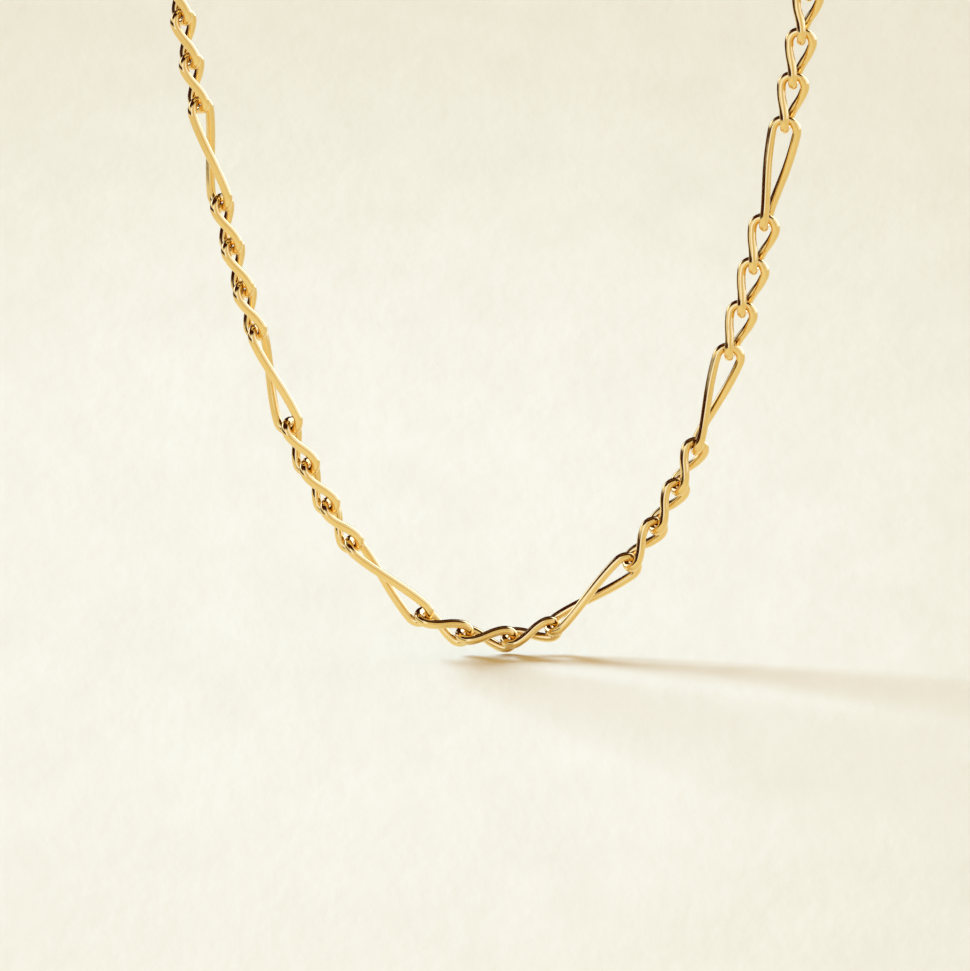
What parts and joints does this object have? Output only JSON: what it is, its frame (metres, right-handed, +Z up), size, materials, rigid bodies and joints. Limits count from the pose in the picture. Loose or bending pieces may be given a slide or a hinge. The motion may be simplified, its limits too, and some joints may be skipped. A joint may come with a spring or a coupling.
{
  "type": "figaro chain necklace",
  "caption": "Fine yellow-gold figaro neck chain: twisted round-wire links, short and long in turn, in a closed loop that hangs from its clasp.",
  "frame": {"origin": "underside of the clasp's ring at the middle of the top of the loop, where the chain hangs", "axes": "+Z up, away from the lowest link; +X along the loop's width, to the viewer's right; +Y square to the loop, away from the viewer"},
  "size_m": [0.0682, 0.0026, 0.2047],
  "materials": {
    "gold": "polished yellow gold"
  },
  "bodies": {
    "root": {"long_link_01": "gold", "long_link_02": "gold", "long_link_03": "gold", "long_link_04": "gold", "long_link_05": "gold", "long_link_06": "gold", "long_link_07": "gold", "long_link_08": "gold", "long_link_09": "gold", "long_link_10": "gold", "long_link_11": "gold", "long_link_12": "gold", "long_link_13": "gold", "long_link_14": "gold", "long_link_15": "gold", "long_link_16": "gold", "long_link_17": "gold", "long_link_18": "gold", "long_link_19": "gold", "long_link_20": "gold", "long_link_21": "gold", "long_link_22": "gold", "long_link_23": "gold", "long_link_24": "gold", "long_link_25": "gold", "long_link_26": "gold", "short_links_left": "gold", "short_links_right": "gold", "clasp": "gold"}
  },
  "joints": []
}
